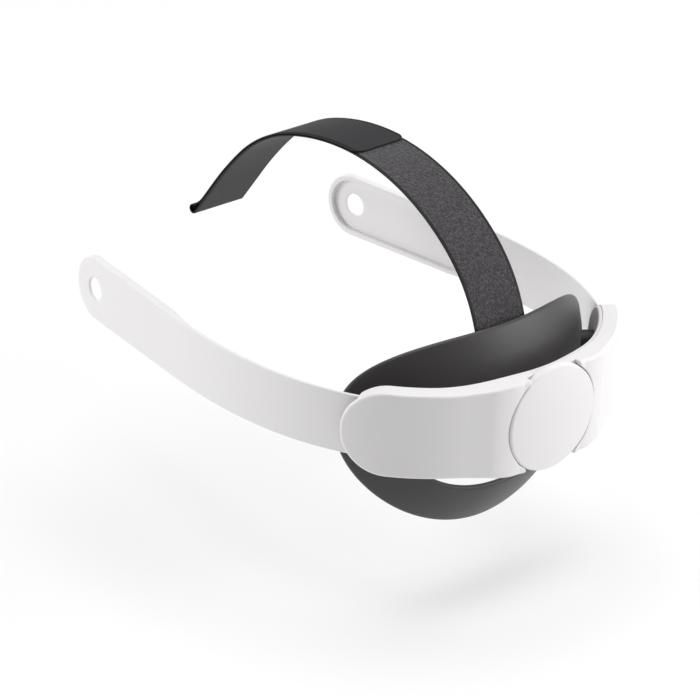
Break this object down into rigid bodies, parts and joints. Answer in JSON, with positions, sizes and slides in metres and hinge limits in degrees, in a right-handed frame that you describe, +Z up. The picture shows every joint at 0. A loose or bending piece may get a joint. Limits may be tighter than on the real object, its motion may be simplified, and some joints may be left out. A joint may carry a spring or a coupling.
{
  "type": "vr headset head strap",
  "caption": "Rigid head strap for a vr headset: curved rear housing with a fit dial, two sliding side arms with pivot holes, a ring head cradle and a fabric top strap.",
  "frame": {"origin": "the head rest: the point on the dial's axis where the back of the wearer's head meets the cradle", "axes": "+X towards the wearer's right, +Y towards the wearer's front, +Z up; the dial's axis is Y"},
  "size_m": [0.1654, 0.2183, 0.1406],
  "materials": {
    "white_shell": "fine satin",
    "white_cover": "fine satin",
    "dial_white": "fine satin",
    "white_strip": "satin, slightly flexible",
    "natural_acetal": "natural moulding",
    "steel": "plain",
    "grey_rubber": "smooth soft-touch",
    "grey_post": "moulded",
    "loop_fabric": "brushed loop pile",
    "smooth_fabric": "smooth laminate",
    "hook_pad": "hook pad"
  },
  "bodies": {
    "frame": {"housing_shell": "white_shell", "housing_back_cover": "white_cover", "housing_screws": "steel", "click_spring": "steel", "click_spring_rivets": "steel", "cradle_ring": "grey_rubber", "left_cradle_post": "grey_post", "right_cradle_post": "grey_post", "cradle_screws": "steel", "strap_anchor": "grey_post", "anchor_bar": "steel", "anchor_rivets": "steel"},
    "dial": {"dial": "dial_white", "pinion_shaft": "natural_acetal", "dial_screw": "steel"},
    "left_slider": {"left_rack": "natural_acetal", "left_rack_rivets": "steel", "left_strip": "white_strip"},
    "right_slider": {"right_rack": "natural_acetal", "right_rack_rivets": "steel", "right_strip": "white_strip"},
    "left_front": {"left_front_arm": "white_strip"},
    "right_front": {"right_front_arm": "white_strip"},
    "top_strap": {"strap_webbing": "loop_fabric", "strap_return_tab": "smooth_fabric", "strap_hook_patch": "hook_pad"}
  },
  "joints": [
    {"name": "dial_spin", "type": "hinge", "parent": "frame", "child": "dial", "pos_m": [0, -0.02, 0], "axis": [0, -1, 0], "range_deg": [-96, 160]},
    {"name": "left_arm_slide", "type": "hinge", "parent": "frame", "child": "left_slider", "pos_m": [0, 0.05755, 0], "axis": [0, 0, -1], "range_deg": [-8.75, 14.56]},
    {"name": "right_arm_slide", "type": "hinge", "parent": "frame", "child": "right_slider", "pos_m": [0, 0.05755, 0], "axis": [0, 0, 1], "range_deg": [-8.75, 14.56]},
    {"name": "left_arm_flex", "type": "hinge", "parent": "left_slider", "child": "left_front", "pos_m": [-0.08085, 0.06512, 0], "axis": [0, 0, 1], "range_deg": [-8.75, 14.56]},
    {"name": "right_arm_flex", "type": "hinge", "parent": "right_slider", "child": "right_front", "pos_m": [0.08085, 0.06512, 0], "axis": [0, 0, -1], "range_deg": [-8.75, 14.56]},
    {"name": "strap_swing", "type": "hinge", "parent": "frame", "child": "top_strap", "pos_m": [0, 0.0084, 0.019], "axis": [-1, 0, 0], "range_deg": [0, 10]}
  ],
  "couplings": [
    {"joint": "left_arm_slide", "follows": "dial_spin", "ratio": 0.090909},
    {"joint": "right_arm_slide", "follows": "dial_spin", "ratio": 0.090909},
    {"joint": "left_arm_flex", "follows": "dial_spin", "ratio": 0.090909},
    {"joint": "right_arm_flex", "follows": "dial_spin", "ratio": 0.090909}
  ]
}
